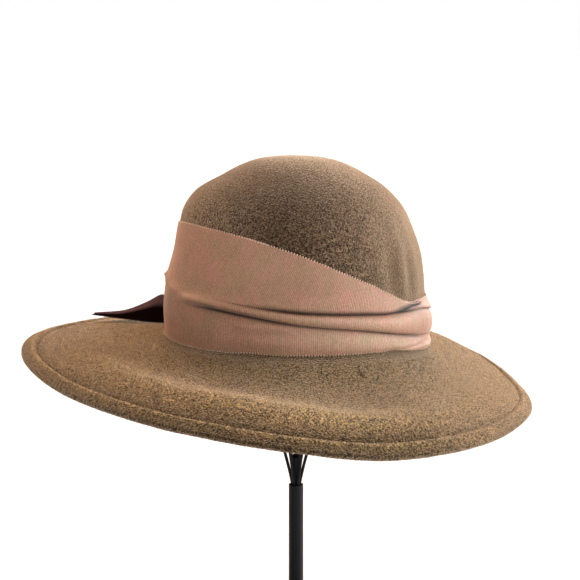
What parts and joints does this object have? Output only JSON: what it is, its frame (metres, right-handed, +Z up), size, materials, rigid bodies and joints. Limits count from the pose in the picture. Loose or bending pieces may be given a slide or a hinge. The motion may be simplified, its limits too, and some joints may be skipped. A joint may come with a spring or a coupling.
{
  "type": "felt hat on a wire stand",
  "caption": "Wide-brimmed felt hat with a round crown, a stitched drooping brim and a draped ribbon band with a free end, resting on a wire display stand.",
  "frame": {"origin": "middle of the underside of the stand's round foot, on the axis of the stand and of the hat's crown", "axes": "+Z up along the stand's stem, +X towards the front of the hat, +Y towards the wearer's left"},
  "size_m": [0.381, 0.3764, 0.3676],
  "materials": {
    "felt": "matt taupe wool felt with a short soft nap",
    "ribbon": "ribbed ribbon with scalloped edges, dull sheen, rose brown",
    "dark_ribbon": "ribbed ribbon, dark brown",
    "stand_metal": "satin black paint"
  },
  "bodies": {
    "root": {"felt_body": "felt", "ribbon_band": "ribbon", "ribbon_knot": "ribbon", "ribbon_tail": "dark_ribbon", "stand_wire_1": "stand_metal", "stand_wire_2": "stand_metal", "stand_wire_3": "stand_metal", "stand_wire_4": "stand_metal", "stand_wire_5": "stand_metal", "stand_wire_6": "stand_metal", "stand_cap": "stand_metal", "stand_stem": "stand_metal", "stand_foot": "stand_metal"}
  },
  "joints": []
}
